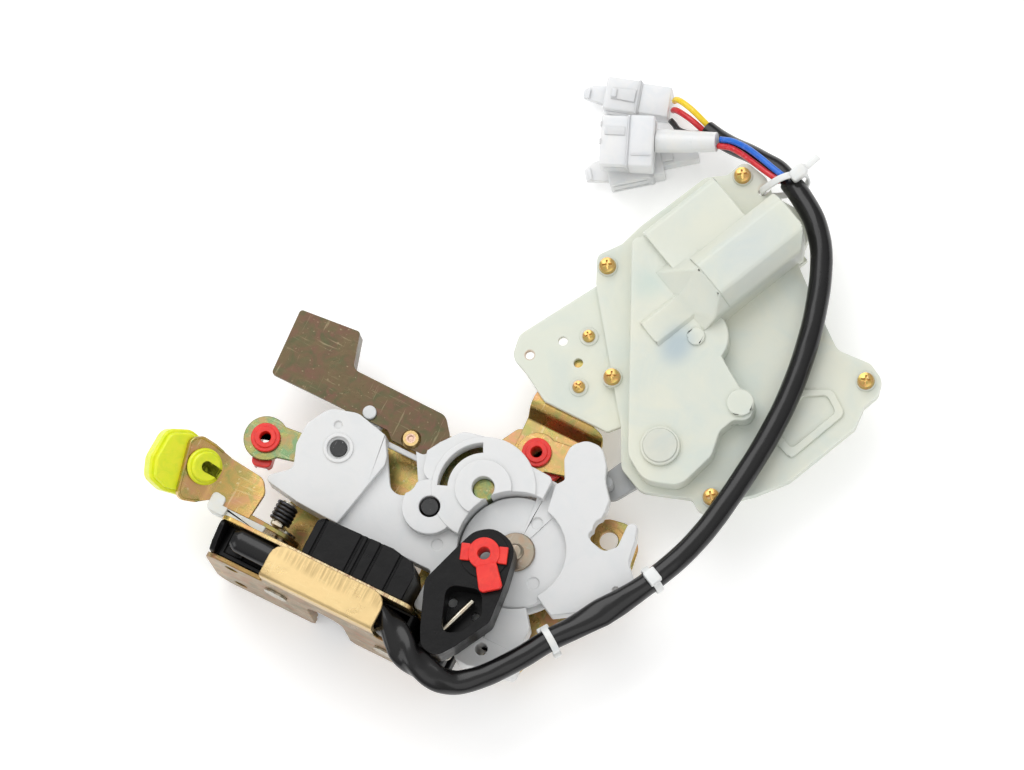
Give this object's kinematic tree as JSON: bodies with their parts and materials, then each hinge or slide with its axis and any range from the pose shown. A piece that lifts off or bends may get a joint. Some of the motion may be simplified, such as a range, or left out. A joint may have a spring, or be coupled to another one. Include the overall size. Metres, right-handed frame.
{
  "type": "car door lock",
  "caption": "Car door lock: latch with claw and pawl, levers under a white cover, motor actuator and wiring harness.",
  "frame": {"origin": "seat of the latched striker, on the face plate's outer face and the centre line of the striker slot", "axes": "+X along the latch's face plate, +Y from the face plate towards the actuator, +Z out of the lever covers, so -Y points out of the door's shut face"},
  "size_m": [0.2178, 0.235, 0.052],
  "materials": {
    "golden_chromate": "yellow chromate on pressed steel",
    "mottled_chromate": "mottled yellow chromate, brown and green",
    "olive_chromate": "olive chromate",
    "claw_steel": "steel with a black plastic coat",
    "black_nylon": "fine grain",
    "pin_steel": "zinc plate",
    "pivot_washer": "brown zinc plate",
    "spring_steel": "oiled",
    "bumper_rubber": "matt",
    "milky_nylon": "translucent",
    "yellow_clip": "satin",
    "red_clip": "satin",
    "white_acetal": "waxy, slightly see-through",
    "black_pin": "satin",
    "milky_polypropylene": "milky, see-through where thin",
    "screw_steel": "yellow zinc plate",
    "motor_can": "plain",
    "gear_acetal": "satin",
    "grey_nylon": "satin",
    "sleeve_vinyl": "soft vinyl, wrinkled",
    "tie_nylon": "satin",
    "boot_vinyl": "soft vinyl",
    "wire_red": "satin",
    "wire_blue": "satin",
    "wire_yellow": "satin",
    "wire_black": "satin",
    "plug_nylon": "satin"
  },
  "bodies": {
    "lock_body": {"face_plate": "golden_chromate", "latch_case": "black_nylon", "back_plate": "golden_chromate", "claw_pin": "pin_steel", "claw_spring": "spring_steel", "pawl_pin": "pin_steel", "bumper": "bumper_rubber", "spring_box": "black_nylon", "return_spring": "spring_steel", "outside_pivot": "pin_steel", "guard_plate": "mottled_chromate", "guard_rivet": "pin_steel", "lever_cover": "white_acetal", "inside_pin": "black_pin", "stop_pin": "black_pin", "lock_link": "olive_chromate", "lock_pivot": "pivot_washer", "key_pivot": "pin_steel", "actuator_bracket": "golden_chromate", "actuator_base": "milky_polypropylene", "actuator_lid": "milky_polypropylene", "lid_screws": "screw_steel", "mount_screws": "screw_steel", "motor": "motor_can", "harness_sleeve": "sleeve_vinyl", "tie_lower": "tie_nylon", "tie_middle": "tie_nylon", "tie_upper": "tie_nylon", "harness_tail": "sleeve_vinyl", "harness_boot": "boot_vinyl", "wires_red": "wire_red", "wires_blue": "wire_blue", "wire_yellow": "wire_yellow", "wire_black": "wire_black", "plug_tail": "plug_nylon", "plug_wires": "plug_nylon", "plug_lower": "plug_nylon"},
    "claw": {"claw": "claw_steel"},
    "pawl": {"pawl": "olive_chromate"},
    "outside_lever": {"outside_lever": "golden_chromate", "release_link": "milky_nylon", "outside_clip": "yellow_clip"},
    "inside_lever": {"inside_lever": "olive_chromate", "inside_clip": "red_clip"},
    "lock_lever": {"lock_lever": "white_acetal", "knob_lever": "golden_chromate", "knob_clip": "red_clip"},
    "key_lever": {"key_lever": "black_nylon", "key_cross_pin": "pin_steel", "key_clip": "red_clip"},
    "output": {"output_gear": "gear_acetal", "output_arm": "grey_nylon"},
    "worm_wheel": {"worm_wheel": "gear_acetal"},
    "worm": {"worm": "screw_steel"}
  },
  "joints": [
    {"name": "claw_turn", "type": "hinge", "parent": "lock_body", "child": "claw", "pos_m": [-0.019, 0.0076, 0.003], "axis": [0, -1, 0], "range_deg": [0, 50], "stiffness_Nm_per_rad": 0.02, "springref_deg": -17.19},
    {"name": "outside_turn", "type": "hinge", "parent": "lock_body", "child": "outside_lever", "pos_m": [-0.028, 0.0193, -0.003], "axis": [0, 1, 0], "range_deg": [0, 18], "stiffness_Nm_per_rad": 0.15, "springref_deg": -28.65},
    {"name": "pawl_turn", "type": "hinge", "parent": "lock_body", "child": "pawl", "pos_m": [0.023, 0.0076, -0.007], "axis": [0, 1, 0], "range_deg": [0, 14]},
    {"name": "inside_turn", "type": "hinge", "parent": "lock_body", "child": "inside_lever", "pos_m": [-0.0225, 0.055, -0.0033], "axis": [0, 0, 1], "range_deg": [-10, 10]},
    {"name": "output_turn", "type": "hinge", "parent": "lock_body", "child": "output", "pos_m": [0.0785, 0.105, 0], "axis": [0, 0, 1], "range_deg": [0, 16]},
    {"name": "lock_turn", "type": "hinge", "parent": "lock_body", "child": "lock_lever", "pos_m": [0.0495, 0.05, 0], "axis": [0, 0, 1], "range_deg": [-8.7, 0]},
    {"name": "wheel_turn", "type": "hinge", "parent": "lock_body", "child": "worm_wheel", "pos_m": [0.0718, 0.1455, 0], "axis": [0, 0, 1], "range_deg": [-64.5, 0]},
    {"name": "worm_spin", "type": "hinge", "parent": "lock_body", "child": "worm", "pos_m": [0.0757, 0.1807, 0.0039], "axis": [0.4147, 0.91, 0], "range_deg": [-481, 0]},
    {"name": "key_turn", "type": "hinge", "parent": "lock_body", "child": "key_lever", "pos_m": [0.0435, 0.0085, 0.01], "axis": [0, 0, 1], "range_deg": [-8, 8]}
  ],
  "couplings": [
    {"joint": "pawl_turn", "follows": "outside_turn", "ratio": 0.75},
    {"joint": "lock_turn", "follows": "output_turn", "ratio": -0.54},
    {"joint": "wheel_turn", "follows": "output_turn", "ratio": -4},
    {"joint": "worm_spin", "follows": "output_turn", "ratio": -30}
  ]
}
